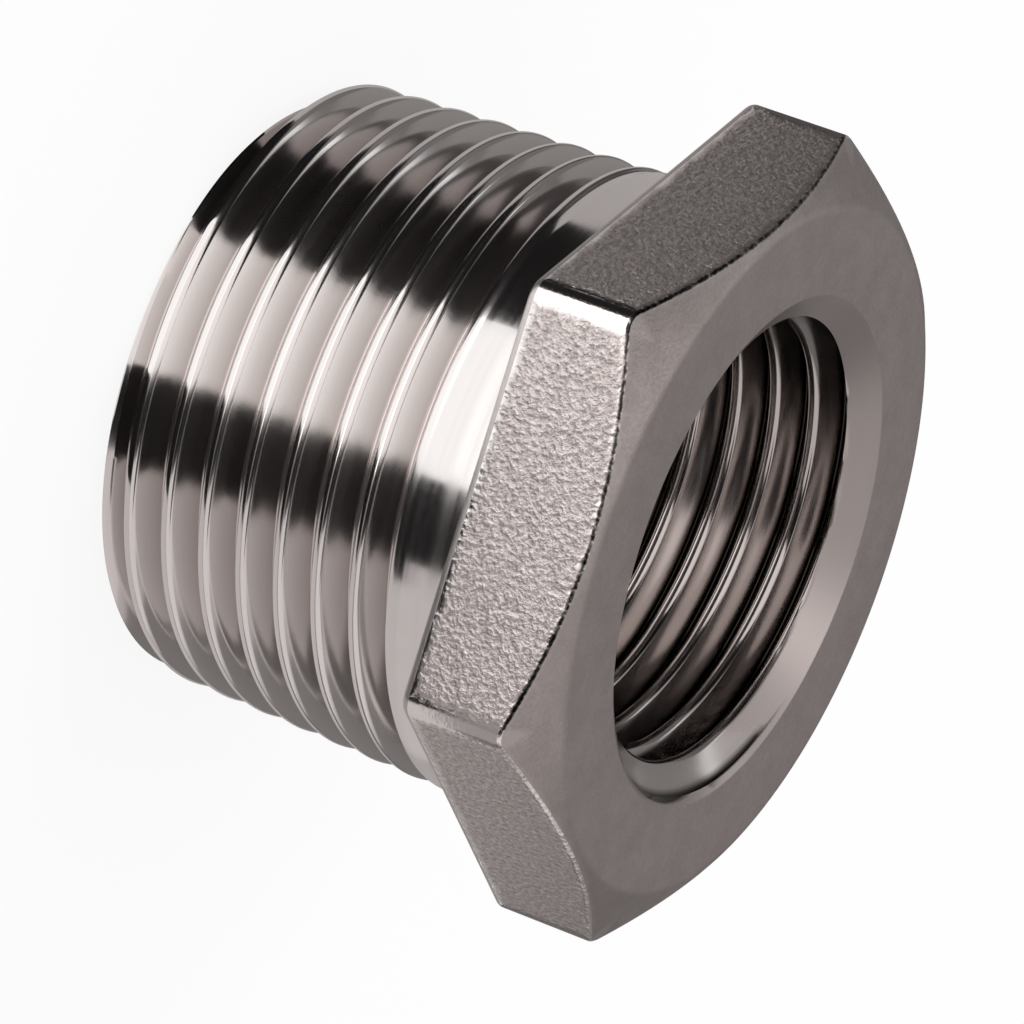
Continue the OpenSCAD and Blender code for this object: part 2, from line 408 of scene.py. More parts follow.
# %% Shared effect: grain of the blasted casting
GRAIN_DETAIL = 3.0
GRAIN_ROUGHNESS = 0.55
CLOUD_SCALE = 0.12
CLOUD_DETAIL = 2.0
grain, grain_in, grain_out = new_group("cast_grain", ("Grain per mm",), ("Height", "Cloud"))
vector, x, y, z, from_axis = object_place(grain)
sized = grain.nodes.new("ShaderNodeVectorMath")
sized.operation = "SCALE"
grain.links.new(vector, sized.inputs[0])
grain.links.new(math_node(grain, "MULTIPLY", grain_in["Grain per mm"], 1 / MM), sized.inputs["Scale"])
grain.links.new(noise_node(grain, sized.outputs[0], 1.0, GRAIN_DETAIL, GRAIN_ROUGHNESS), grain_out["Height"])
grain.links.new(noise_node(grain, sized.outputs[0], CLOUD_SCALE, CLOUD_DETAIL), grain_out["Cloud"])
print("cast grain:", len(grain.nodes), "nodes")

# %% [markdown]
# Wear and painted light follow the shape. The next effect measures how far a point of the head is from its
# edges: the corners between the flats, the shoulder, and the curve in which the turned cone cuts a flat. It
# gives one mask for the rubbed rim beside all of them, which is smoother metal with a painted highlight, and
# one for a line of painted shade on that curve alone. The painted shade lies on one side of the head and
# fades out on the other.

# %% Shared effect: rubbed edges of the head, with a painted highlight rim and a painted shade line
SHADE_LINE_SIDE = math.radians(-115)
SHADE_LINE_FADE = 0.1
SHOULDER_ROUND = 0.35 * MM
RIM_WAVES_PER_MM = 1.1
RIM_WOBBLE = 0.4 * MM
SHADE_LINE_TEETH_PER_MM = 5.0
SHADE_LINE_WOBBLE = 0.16 * MM
SHADE_LINE_CORE = 0.4
edges, edges_in, edges_out = new_group("rubbed_edges", ("Rim Width", "Seam Width"), ("Rim", "Seam"))
vector, x, y, z, from_axis = object_place(edges)
compass = math_node(edges, "ARCTAN2", y, x)
side_number = math_node(edges, "ROUND", math_node(edges, "DIVIDE", compass, SIDE_ANGLE))
facing = math_node(edges, "MULTIPLY", side_number, SIDE_ANGLE)
from_middle = math_node(edges, "SUBTRACT", compass, facing)
across = math_node(edges, "MULTIPLY", from_axis, math_node(edges, "SINE", from_middle))
outwards = math_node(edges, "MULTIPLY", from_axis, math_node(edges, "COSINE", from_middle))
FLAT_HALF = (FLAT_R - CORNER_R) * math.tan(SIDE_ANGLE / 2)
corner_gap = math_node(edges, "SUBTRACT", FLAT_HALF, math_node(edges, "ABSOLUTE", across))
flat_gap = math_node(edges, "SUBTRACT", FLAT_R, outwards)
past_face = math_node(edges, "SUBTRACT", from_axis, FACE_R)
cone_drop = math_node(edges, "MULTIPLY", past_face, math.tan(CHAMFER_SLOPE))
cone_gap = math_node(edges, "SUBTRACT", math_node(edges, "SUBTRACT", TOTAL_H, cone_drop), z)
flat_square = math_node(edges, "MULTIPLY", flat_gap, flat_gap)
cone_square = math_node(edges, "MULTIPLY", cone_gap, cone_gap)
curve_gap = math_node(edges, "SQRT", math_node(edges, "ADD", flat_square, cone_square))
shoulder_gap = math_node(edges, "SUBTRACT", z, BARREL_L + SHOULDER_ROUND)
nearest = math_node(edges, "MINIMUM", math_node(edges, "MINIMUM", corner_gap, shoulder_gap), curve_gap)
# the rim beside all edges: rubbed metal, and its lighter colour in the finishes is a painted highlight
unevenness = noise_node(edges, vector, RIM_WAVES_PER_MM / MM, 2.0)
wobble = math_node(edges, "MULTIPLY", math_node(edges, "SUBTRACT", unevenness, 0.5), RIM_WOBBLE)
rim_width = math_node(edges, "MULTIPLY", edges_in["Rim Width"], MM)
rim_gap = math_node(edges, "ADD", nearest, wobble)
edges.links.new(range_node(edges, rim_gap, 0.0, rim_width, 1.0, 0.0), edges_out["Rim"])
# painted shade: a dark line on the curve where the cone cuts a flat, on one side of the head only
ragged = noise_node(edges, vector, SHADE_LINE_TEETH_PER_MM / MM, 2.0)
shade_line_wobble = math_node(edges, "MULTIPLY", math_node(edges, "SUBTRACT", ragged, 0.45), SHADE_LINE_WOBBLE)
shade_line_width = math_node(edges, "MULTIPLY", edges_in["Seam Width"], MM)
shade_line_gap = math_node(edges, "ADD", curve_gap, shade_line_wobble)
shade_line_core = math_node(edges, "MULTIPLY", shade_line_width, SHADE_LINE_CORE)
near_shade_line = range_node(edges, shade_line_gap, shade_line_core, shade_line_width, 1.0, 0.0)
towards_shade_side = math_node(edges, "COSINE", math_node(edges, "SUBTRACT", compass, SHADE_LINE_SIDE))
on_shade_side = range_node(edges, towards_shade_side, -SHADE_LINE_FADE, SHADE_LINE_FADE, 0.0, 1.0)
edges.links.new(math_node(edges, "MULTIPLY", near_shade_line, on_shade_side), edges_out["Seam"])
print("rubbed edges:", len(edges.nodes), "nodes")

# %% Shared effect: painted shade in the bottoms of the thread's grooves
GROOVE_INPUTS = ("Crest Radius", "Taper", "Clean Depth", "Dark Depth")
roots, roots_in, roots_out = new_group("groove_bottoms", GROOVE_INPUTS, ("Dark",))
vector, x, y, z, from_axis = object_place(roots)
taper_rise = math_node(roots, "MULTIPLY", z, roots_in["Taper"])
crest_there = math_node(roots, "ADD", roots_in["Crest Radius"], taper_rise)
sunk = math_node(roots, "ABSOLUTE", math_node(roots, "SUBTRACT", crest_there, from_axis))
darkness = range_node(roots, sunk, roots_in["Clean Depth"], roots_in["Dark Depth"], 0.0, 1.0)
roots.links.new(darkness, roots_out["Dark"])
print("groove bottoms:", len(roots.nodes), "nodes")

# %% [markdown]
# The countersink is one cone with the first thread cut into it, so no row of faces could carry its smooth
# finish. A mask does it instead: it is one wherever a point lies on that cone, and nought in the grooves.

# %% Effect: the countersink's cone
ON_CONE = 0.04 * MM
OFF_CONE = 0.08 * MM
countersink, sink_in, sink_out = new_group("countersink_cone", (), ("Mask",))
vector, x, y, z, from_axis = object_place(countersink)
above_front = math_node(countersink, "SUBTRACT", z, TOTAL_H)
cone_rise = math_node(countersink, "DIVIDE", above_front, math.tan(MOUTH_SLOPE))
cone_reach = math_node(countersink, "ADD", cone_rise, MOUTH_R)
off_cone = math_node(countersink, "ABSOLUTE", math_node(countersink, "SUBTRACT", from_axis, cone_reach))
cone_mask = range_node(countersink, off_cone, ON_CONE, OFF_CONE, 1.0, 0.0)
countersink.links.new(cone_mask, sink_out["Mask"])
print("countersink cone:", len(countersink.nodes), "nodes")

# %% [markdown]
# Each material is one Principled shader of bare metal. Its colour is the warm grey of stainless steel. It
# varies a little at random, and in places it holds painted shade and painted highlights. What else changes
# over the surface is how rough it is and which way it points, as on real metal.

# %% Helpers for the finishes
def new_metal(name, roughness, anisotropy):
    """A bare metal material: the material, its tree and its shader."""
    material = bpy.data.materials.new(name)
    material.use_nodes = True
    tree = material.node_tree
    shader = tree.nodes["Principled BSDF"]
    shader.inputs["Metallic"].default_value = 1.0
    shader.inputs["Roughness"].default_value = roughness
    shader.inputs["Anisotropic"].default_value = anisotropy
    return material, tree, shader


def place_group(tree, group, **numbers):
    """Places a shared effect in a material with its own numbers; it returns the effect's outputs."""
    node = tree.nodes.new("ShaderNodeGroup")
    node.node_tree = group
    for name, number in numbers.items():
        node.inputs[name.replace("_", " ")].default_value = number
    return node.outputs


def bump(tree, shader, height, distance):
    """Turns a height into the shader's normal. The distance is the height of a full step, in metres."""
    node = tree.nodes.new("ShaderNodeBump")
    node.inputs["Distance"].default_value = distance
    tree.links.new(height, node.inputs["Height"])
    tree.links.new(node.outputs["Normal"], shader.inputs["Normal"])


def blend_colours(tree, amount, first, second):
    """A colour between two others. The amount and both colours may be sockets or plain values."""
    node = tree.nodes.new("ShaderNodeMix")
    node.data_type = "RGBA"
    if isinstance(amount, bpy.types.NodeSocket):
        tree.links.new(amount, node.inputs["Factor"])
    else:
        node.inputs["Factor"].default_value = amount
    sockets = [socket for socket in node.inputs if socket.type == "RGBA"]
    for socket, colour in zip(sockets, (first, second)):
        if isinstance(colour, bpy.types.NodeSocket):
            tree.links.new(colour, socket)
        else:
            socket.default_value = (*colour, 1.0)
    return next(socket for socket in node.outputs if socket.type == "RGBA")


def lathe_tangent(tree, shader):
    """Lays the metal's stretched highlights along the axis, across the lathe's rings."""
    node = tree.nodes.new("ShaderNodeTangent")
    node.direction_type = "RADIAL"
    node.axis = "Z"
    tree.links.new(node.outputs[0], shader.inputs["Tangent"])


# %% Finish of the outer thread and the shank
MOST_NOISE = (0.3, 0.7)
# the near black and the lighter grey below are colours of painted shade
PAINTED_SHADE_BLACK = (0.05, 0.045, 0.04)
ROOT_SHADE_STEEL = (0.64, 0.6, 0.585)
DIE_DULL = (0.78, 0.755, 0.745)
DIE_BRIGHT = (0.89, 0.87, 0.86)
DIE_MARKS = 0.0005 * MM
turned, tree, shader = new_metal("turned_thread_steel", 0.12, 0.4)
marks = place_group(tree, rings, Rings_per_mm=5.0, Streak_Length=9.0)
steel = blend_colours(tree, marks["Tone"], DIE_DULL, DIE_BRIGHT)
# painted shade: the colour darkens down the flanks towards the root of each groove
root_shade = place_group(tree, roots, Crest_Radius=CREST_R_AT_END, Taper=TAPER,
                  Clean_Depth=0.06 * MM, Dark_Depth=1.25 * MM)
tree.links.new(blend_colours(tree, root_shade["Dark"], steel, ROOT_SHADE_STEEL), shader.inputs["Base Color"])
tree.links.new(range_node(tree, marks["Tone"], *MOST_NOISE, 0.1, 0.17), shader.inputs["Roughness"])
bump(tree, shader, marks["Height"], DIE_MARKS)
lathe_tangent(tree, shader)
print(turned.name, len(tree.nodes), "nodes")

# %% Finish of the inner thread and its countersink
SINK_STEEL = (0.57, 0.53, 0.515)
SINK_ROUGHNESS = 0.3
TAP_DULL = (0.54, 0.51, 0.5)
TAP_BRIGHT = (0.66, 0.63, 0.615)
TAP_MARKS = 0.0006 * MM
tapped, tree, shader = new_metal("tapped_thread_steel", 0.2, 0.3)
marks = place_group(tree, rings, Rings_per_mm=5.0, Streak_Length=7.0)
steel = blend_colours(tree, marks["Tone"], TAP_DULL, TAP_BRIGHT)
# painted shade: the colour turns near black at the bottoms of the grooves
root_shade = place_group(tree, roots, Crest_Radius=TAPPED_R, Taper=0.0,
                  Clean_Depth=0.95 * MM, Dark_Depth=1.2 * MM)
shaded_roots = blend_colours(tree, root_shade["Dark"], steel, PAINTED_SHADE_BLACK)
sink = place_group(tree, countersink)
tree.links.new(blend_colours(tree, sink["Mask"], shaded_roots, SINK_STEEL), shader.inputs["Base Color"])
cut_roughness = range_node(tree, marks["Tone"], *MOST_NOISE, 0.09, 0.16)
tapped_roughness = range_node(tree, sink["Mask"], 0.0, 1.0, cut_roughness, SINK_ROUGHNESS)
tree.links.new(tapped_roughness, shader.inputs["Roughness"])
bump(tree, shader, marks["Height"], TAP_MARKS)
lathe_tangent(tree, shader)
print(tapped.name, len(tree.nodes), "nodes")

# %% Finish of the plain bore
BORE_DULL = (0.5, 0.47, 0.455)
BORE_BRIGHT = (0.6, 0.565, 0.55)
BORE_MARKS = 0.002 * MM
smooth, tree, shader = new_metal("smooth_bore_steel", 0.3, 0.3)
marks = place_group(tree, rings, Rings_per_mm=4.0, Streak_Length=12.0)
steel = blend_colours(tree, marks["Tone"], BORE_DULL, BORE_BRIGHT)
tree.links.new(steel, shader.inputs["Base Color"])
tree.links.new(range_node(tree, marks["Tone"], *MOST_NOISE, 0.12, 0.2), shader.inputs["Roughness"])
bump(tree, shader, marks["Height"], BORE_MARKS)
lathe_tangent(tree, shader)
print(smooth.name, len(tree.nodes), "nodes")

# %% [markdown]
# The casting's grain changes three things at once: its hollows are darker and rougher than its tips, and
# a bump map tips the surface. At the rubbed rim all three fade into smooth metal, whose lighter colour is a
# painted highlight. A line of painted shade darkens the curve where the cone cuts a flat.

# %% Finish of the cast flats
RUBBED_HIGHLIGHT_STEEL = (0.94, 0.9, 0.885)
RUBBED_ROUGHNESS = 0.16
RUBBED_SMOOTHNESS = 0.93
GRAIN_HEIGHT = 0.15 * MM
HOLLOWS = (0.5, 0.464, 0.455)
TIPS = (0.84, 0.782, 0.766)
SPECKLE_NOISE = (0.34, 0.66)
cast, tree, shader = new_metal("blasted_cast_steel", 0.42, 0.0)
lumps = place_group(tree, grain, Grain_per_mm=4.4)
wear_highlight_and_shade = place_group(tree, edges, Rim_Width=0.35, Seam_Width=0.13)
speckle = range_node(tree, lumps["Height"], *SPECKLE_NOISE, 0.0, 1.0)
steel = blend_colours(tree, speckle, HOLLOWS, TIPS)
# painted highlight: the rim's colour is lighter than the steel beside it, on top of its smoother rubbed metal
rubbed_and_highlit = blend_colours(tree, wear_highlight_and_shade["Rim"], steel, RUBBED_HIGHLIGHT_STEEL)
# painted shade: a near-black line on the curve where the cone cuts a flat
tree.links.new(blend_colours(tree, wear_highlight_and_shade["Seam"], rubbed_and_highlit, PAINTED_SHADE_BLACK), shader.inputs["Base Color"])
blasted = range_node(tree, lumps["Height"], *MOST_NOISE, 0.5, 0.4)
cast_roughness = range_node(tree, wear_highlight_and_shade["Rim"], 0.0, 1.0, blasted, RUBBED_ROUGHNESS)
tree.links.new(cast_roughness, shader.inputs["Roughness"])
rubbed_away = math_node(tree, "MULTIPLY", wear_highlight_and_shade["Rim"], RUBBED_SMOOTHNESS)
rough_share = math_node(tree, "SUBTRACT", 1.0, rubbed_away)
bump(tree, shader, math_node(tree, "MULTIPLY", lumps["Height"], rough_share), GRAIN_HEIGHT)
print(cast.name, len(tree.nodes), "nodes")

# %% Finish of the turned cone and face
SATIN_RIM = (0.68, 0.64, 0.625)
SATIN_RIM_SHARE = 0.6
SATIN_HEIGHT = 0.012 * MM
FINE_DARK = (0.33, 0.305, 0.298)
FINE_LIGHT = (0.67, 0.62, 0.605)
CLOUD_DARK = (0.36, 0.333, 0.325)
CLOUD_LIGHT = (0.66, 0.61, 0.595)
satin, tree, shader = new_metal("satin_face_steel", 0.4, 0.0)
lumps = place_group(tree, grain, Grain_per_mm=7.0)
wear_highlight_and_shade = place_group(tree, edges, Rim_Width=0.3, Seam_Width=0.12)
fine = blend_colours(tree, lumps["Height"], FINE_DARK, FINE_LIGHT)
cloudy = blend_colours(tree, lumps["Cloud"], CLOUD_DARK, CLOUD_LIGHT)
steel = blend_colours(tree, 0.5, fine, cloudy)
# painted highlight: a lighter rim of colour beside the edges
faint_rim = math_node(tree, "MULTIPLY", wear_highlight_and_shade["Rim"], SATIN_RIM_SHARE)
rubbed_and_highlit = blend_colours(tree, faint_rim, steel, SATIN_RIM)
# painted shade: a near-black line on the curve where the cone cuts a flat
tree.links.new(blend_colours(tree, wear_highlight_and_shade["Seam"], rubbed_and_highlit, PAINTED_SHADE_BLACK), shader.inputs["Base Color"])
tree.links.new(range_node(tree, lumps["Height"], *MOST_NOISE, 0.44, 0.36), shader.inputs["Roughness"])
bump(tree, shader, lumps["Height"], SATIN_HEIGHT)
print(satin.name, len(tree.nodes), "nodes")
FINISHES = [turned, cast, satin, smooth, tapped]
print("finishes:", [material.name for material in FINISHES])

# %% [markdown]
# The two threads are cut now. The outer one winds on a cone, its groove goes inwards, and it runs out
# at the top, against the shank. The inner one winds on a cylinder, its groove goes outwards, and it runs
# out at the bottom, where the tap stopped. Both are right-hand: their crests rise as the angle grows.

# %% Cut the threads
EDGE_ROUND = 0.12 * MM
MOUTH_TANGENT = EDGE_ROUND * math.tan(MOUTH_SLOPE / 2)
MOUTH_TOP = TOTAL_H - MOUTH_TANGENT * math.sin(MOUTH_SLOPE)


def cut_thread(name, sizes):
    """Runs the thread tree with these sizes and returns the plain mesh."""
    holder = bpy.data.objects.new(name, bpy.data.meshes.new(name))
    bpy.context.scene.collection.objects.link(holder)
    modifier = holder.modifiers.new("thread", "NODES")
    modifier.node_group = thread_tree
    for item in thread_tree.interface.items_tree:
        if item.in_out == "INPUT" and item.name in sizes:
            modifier[item.identifier] = sizes[item.name]
    bpy.context.view_layer.update()
    graph = bpy.context.evaluated_depsgraph_get()
    mesh = bpy.data.meshes.new_from_object(holder.evaluated_get(graph))
    bpy.data.objects.remove(holder)
    print(name, len(mesh.vertices), "points,", len(mesh.polygons), "faces")
    return mesh


def turns_for(low_end, high_end, phase):
    """First turn and number of turns that cover a thread at every angle."""
    first = math.floor((low_end - phase) / PITCH - (FIRST_ANGLE + math.tau) / math.tau)
    last = math.ceil((high_end - phase) / PITCH - FIRST_ANGLE / math.tau)
    return {"First Turn": first, "Turns": last - first}


MALE_PHASE = 0.0
male_mesh = cut_thread("male_thread", {
    "Pitch": PITCH, **turns_for(0.0, THREAD_L, MALE_PHASE), "Phase": MALE_PHASE,
    "Crest Radius": CREST_R_AT_END, "Taper": TAPER, "Groove Side": -1.0,
    "Low End": 0.0, "High End": THREAD_L, "Run-out Height": THREAD_L, "Run-out Length": RUNOUT_L,
    "Cut Radius": CREST_R_AT_END + TAPER * END_CHAMFER - END_CHAMFER, "Cut Height": 0.0, "Cut Slope": 1.0,
    "Edge Softness": EDGE_ROUND, "Material": turned,
})
FEMALE_PHASE = 0.0
TAP_RUNOUT_L = 3 * MM
female_mesh = cut_thread("female_thread", {
    "Pitch": PITCH, **turns_for(TAPPED_FLOOR, MOUTH_TOP, FEMALE_PHASE), "Phase": FEMALE_PHASE,
    "Crest Radius": TAPPED_R, "Taper": 0.0, "Groove Side": 1.0,
    "Low End": TAPPED_FLOOR, "High End": MOUTH_TOP,
    "Run-out Height": TAPPED_FLOOR, "Run-out Length": TAP_RUNOUT_L,
    "Cut Radius": MOUTH_R, "Cut Height": TOTAL_H, "Cut Slope": 1 / math.tan(MOUTH_SLOPE),
    "Edge Softness": EDGE_ROUND, "Material": tapped,
})

# %% [markdown]
# The rest is a stack of rings, from the shank over the shoulder, up the flats, over the cone to the
# front face and down into the countersink, and inside from the tapped wall through the waterway to the
# small end. A flat ends at the front in the curve that the cone cuts across it, because a ring there
# takes its height from the cone and its radius from the hexagon. Its edge is rounded by a small arc.

# %% The rings of the head and the bore
ROOT_FILLET = 0.12 * MM
CONE_ROUND = 0.22 * MM
FACE_ROUND = 0.9 * MM
STRAIGHT = 0.1 * MM
CONE_TANGENT = CONE_ROUND * math.tan((math.pi / 2 - CHAMFER_SLOPE) / 2)
FACE_TANGENT = FACE_ROUND * math.tan(CHAMFER_SLOPE / 2)


def cone_height(reach_out):
    """Height of the turned cone at a distance from the axis."""
    return TOTAL_H - (reach_out - FACE_R) * math.tan(CHAMFER_SLOPE)


def plain_ring(radius, height):
    """A round ring: one radius and one height for every column."""
    return [(radius, height)] * COLUMNS


def arc_rings(steps, ring_at):
    """The rings of a rounded edge, from ring_at(0) to ring_at(1)."""
    return [ring_at(step / steps) for step in range(steps + 1)]


def root_fillet(share):
    """The fillet where the shank meets the head's lower face."""
    lean = share * math.pi / 2
    radius = SHANK_R + ROOT_FILLET * (1 - math.cos(lean))
    return plain_ring(radius, BARREL_L - ROOT_FILLET * (1 - math.sin(lean)))


def shoulder_edge(share):
    """The rounded edge from the head's lower face to the flats."""
    lean = (share - 1) * math.pi / 2
    height = BARREL_L + SHOULDER_ROUND * (1 + math.sin(lean))
    return [(reach - SHOULDER_ROUND * (1 - math.cos(lean)), height) for reach in outline]


def cone_edge(share):
    """The edge where the cone cuts the flats: its height follows the cone."""
    lean = share * (math.pi / 2 - CHAMFER_SLOPE)
    inwards = CONE_ROUND * (1 - math.cos(lean))
    upwards = CONE_ROUND * math.sin(lean) - CONE_TANGENT
    return [(reach - inwards, cone_height(reach) + upwards) for reach in outline]


def face_edge(share):
    """The soft edge between the cone and the front face."""
    lean = CHAMFER_SLOPE * (1 - share)
    radius = FACE_R - FACE_TANGENT + FACE_ROUND * math.sin(lean)
    return plain_ring(radius, TOTAL_H - FACE_ROUND * (1 - math.cos(lean)))


def mouth_edge(share):
    """The edge between the front face and the countersink."""
    lean = MOUTH_SLOPE * share
    radius = MOUTH_R + MOUTH_TANGENT - EDGE_ROUND * math.sin(lean)
    return plain_ring(radius, TOTAL_H - EDGE_ROUND * (1 - math.cos(lean)))


TURNED, CAST, SATIN, SMOOTH, TAPPED = range(5)
shank_heights = (THREAD_L, THREAD_L + STRAIGHT, BARREL_L - ROOT_FILLET - STRAIGHT)
outer_rings = [(TURNED, plain_ring(SHANK_R, height_up)) for height_up in shank_heights]
outer_rings += [(TURNED, ring) for ring in arc_rings(4, root_fillet)]
outer_rings += [(SATIN, ring) for ring in arc_rings(5, shoulder_edge)]
outer_rings += [(CAST, ring) for ring in arc_rings(6, cone_edge)]
outer_rings += [(SATIN, ring) for ring in arc_rings(4, face_edge)]
outer_rings += [(SATIN, ring) for ring in arc_rings(3, mouth_edge)]
inner_rings = [
    (SMOOTH, plain_ring(TAPPED_R, TAPPED_FLOOR)),
    (SMOOTH, plain_ring(WATERWAY_R, TAPPED_FLOOR - STEP_H)),
    (SMOOTH, plain_ring(WATERWAY_R, WATERWAY_CHAMFER)),
    (SMOOTH, plain_ring(WATERWAY_R + WATERWAY_CHAMFER, 0.0)),
]
print(len(outer_rings), "rings outside,", len(inner_rings), "rings inside")

# %% [markdown]
# The rings are sewn face by face, and merging joins them to the threads, whose end rings stand at the
# same places. A ring of flat faces closes the small end, and recalculated normals all point outwards.

# %% Sew the piece together
def sew_rings(mesh, rings_to_sew):
    """Builds the rings and the faces between them. A face takes the finish of the ring above it."""
    built = []
    for finish, ring in rings_to_sew:
        circle = [mesh.verts.new((radius * math.cos(a), radius * math.sin(a), height))
                  for (radius, height), a in zip(ring, angles)]
        if built:
            below = built[-1]
            for column in range(COLUMNS):
                after = (column + 1) % COLUMNS
                face = mesh.faces.new((below[column], below[after], circle[after], circle[column]))
                face.material_index = finish
        built.append(circle)
    return built


body = bmesh.new()
for thread_mesh, finish in ((male_mesh, TURNED), (female_mesh, TAPPED)):
    first_face = len(body.faces)
    body.from_mesh(thread_mesh)
    bpy.data.meshes.remove(thread_mesh)
    body.faces.ensure_lookup_table()
    for face in body.faces[first_face:]:
        face.material_index = finish
sew_rings(body, outer_rings)
bore_circles = sew_rings(body, inner_rings)
bmesh.ops.remove_doubles(body, verts=body.verts, dist=SEAM)

# the flat small end joins the bore's mouth to the first turn of the outer thread
mouth_circle = [v for v in bore_circles[-1] if v.is_valid]
bottom = [v for v in body.verts if v.is_boundary and abs(v.co.z) < SEAM]
rim = [v for v in bottom if v.co.xy.length > WATERWAY_R + 2 * WATERWAY_CHAMFER]


def turn_of(vertex):
    """How far round the axis a point stands, counted from the first column."""
    return (math.atan2(vertex.co.y, vertex.co.x) - FIRST_ANGLE + SEAM) % math.tau


rim.sort(key=turn_of)
mouth_circle.sort(key=turn_of)
for column in range(COLUMNS):
    after = (column + 1) % COLUMNS
    face = body.faces.new((mouth_circle[column], mouth_circle[after], rim[after], rim[column]))
    face.material_index = TURNED
bmesh.ops.recalc_face_normals(body, faces=body.faces)
open_edges = sum(1 for edge in body.edges if not edge.is_manifold)
print("points of the end's rim and mouth:", len(rim), len(mouth_circle), "open edges:", open_edges)
print("volume in cubic mm:", round(body.calc_volume() / MM**3, 1))

# %% Make the piece
SHARP_ANGLE = math.radians(40)
bush_mesh = bpy.data.meshes.new("reducing_bush")
body.to_mesh(bush_mesh)
body.free()
for material in FINISHES:
    bush_mesh.materials.append(material)
bush_mesh.polygons.foreach_set("use_smooth", [True] * len(bush_mesh.polygons))
bush_mesh.set_sharp_from_angle(angle=SHARP_ANGLE)
bush = bpy.data.objects.new("reducing_bush", bush_mesh)
bpy.context.scene.collection.objects.link(bush)
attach(bush, "root")
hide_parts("bush")
triangles = sum(len(face.vertices) - 2 for face in bush_mesh.polygons)
print("reducing_bush:", triangles, "triangles")

# %% [markdown]
# The camera looks down on the standing bush and is rolled on its side, so that the axis lies across
# the picture as it does in the photograph. Its lens is long, because the photograph has hardly any
# perspective. The numbers come from a camera fitted to the hexagon's corners and the thread's outline.

# %% Camera
VIEW_TARGET = Vector((1.72, 0.74, 12.59)) * MM
VIEW_DISTANCE = 307.4 * MM
VIEW_AZIMUTH = math.radians(23.152)
VIEW_ELEVATION = math.radians(24.334)
VIEW_ROLL = math.radians(110.248)
NUDGE_RIGHT = 0.083 * MM
NUDGE_UP = 0.064 * MM
LENS_MM = 264.4
SENSOR_MM = 36
camera_data = bpy.data.cameras.new("camera")
camera_data.lens = LENS_MM
camera_data.sensor_width = SENSOR_MM
camera_data.clip_start = 10 * MM
camera_data.clip_end = 20.0
camera = bpy.data.objects.new("camera", camera_data)
level = Vector((math.sin(VIEW_AZIMUTH), -math.cos(VIEW_AZIMUTH), 0))
back = level * math.cos(VIEW_ELEVATION) + Vector((0, 0, math.sin(VIEW_ELEVATION)))
level_right = Vector((0, 0, 1)).cross(back).normalized()
level_up = back.cross(level_right)
right = level_right * math.cos(VIEW_ROLL) + level_up * math.sin(VIEW_ROLL)
up = back.cross(right)
turned_axes = Matrix((right, up, back)).transposed()
stand = VIEW_TARGET + back * VIEW_DISTANCE + right * NUDGE_RIGHT + up * NUDGE_UP
camera.matrix_world = Matrix.Translation(stand) @ turned_axes.to_4x4()
bpy.context.scene.collection.objects.link(camera)
bpy.context.scene.camera = camera
print("camera at", [round(v / MM, 1) for v in camera.matrix_world.translation])

# %% [markdown]
# A pale floor, a white room and one large soft lamp light the bush evenly. The floor is plain paint to
# the light that falls on the bush, but the camera and the reflections see it nearly white, so that the
# picture has a white ground and still keeps the bush's soft shadow.

# %% Floor
FLOOR_HALF = 3.0
floor_mesh = bpy.data.meshes.new("floor")
SQUARE = ((-1, -1), (1, -1), (1, 1), (-1, 1))
corners = [(FLOOR_HALF * right_share, FLOOR_HALF * back_share, 0) for right_share, back_share in SQUARE]
floor_mesh.from_pydata(corners, [], [(0, 1, 2, 3)])
floor = bpy.data.objects.new("floor", floor_mesh)
bpy.context.scene.collection.objects.link(floor)


def seen_directly(tree):
    """One for the rays of the camera, of reflections and of glass, and nought for all other rays."""
    kinds = tree.nodes.new("ShaderNodeLightPath").outputs
    direct = math_node(tree, "MAXIMUM", kinds["Is Camera Ray"], kinds["Is Glossy Ray"])
    return math_node(tree, "MAXIMUM", direct, kinds["Is Transmission Ray"])


FLOOR_WHITENESS = 0.86
PAINT_GREY = 0.92
paint = bpy.data.materials.new("pale_floor")
paint.use_nodes = True
tree = paint.node_tree
matt = tree.nodes["Principled BSDF"]
matt.inputs["Base Color"].default_value = (PAINT_GREY, PAINT_GREY, PAINT_GREY, 1)
matt.inputs["Roughness"].default_value = 1.0
matt.inputs["Specular IOR Level"].default_value = 0.0
white = tree.nodes.new("ShaderNodeEmission")
blend = tree.nodes.new("ShaderNodeMixShader")
tree.links.new(math_node(tree, "MULTIPLY", seen_directly(tree), FLOOR_WHITENESS), blend.inputs[0])
tree.links.new(matt.outputs[0], blend.inputs[1])
tree.links.new(white.outputs[0], blend.inputs[2])
tree.links.new(blend.outputs[0], tree.nodes["Material Output"].inputs["Surface"])
floor_mesh.materials.append(paint)
print("floor:", 2 * FLOOR_HALF, "m wide")

# %% [markdown]
# The room is plain white to the camera and in reflections, and a little dimmer as light. The lamp adds the
# soft shadow. It is hidden from reflections, so that the metal shows no lamp.

# %% Room and lamp
ROOM_LIGHT = 0.9
LAMP_SIZE = 0.5
LAMP_WATTS = 1.2
world = bpy.data.worlds.new("white_room")
bpy.context.scene.world = world
world.use_nodes = True
sky = world.node_tree
room_strength = range_node(sky, seen_directly(sky), 0.0, 1.0, ROOM_LIGHT, 1.0)
sky.links.new(room_strength, sky.nodes["Background"].inputs["Strength"])
sky.nodes["Background"].inputs["Color"].default_value = (1, 1, 1, 1)
bpy.context.scene.view_settings.view_transform = "Standard"

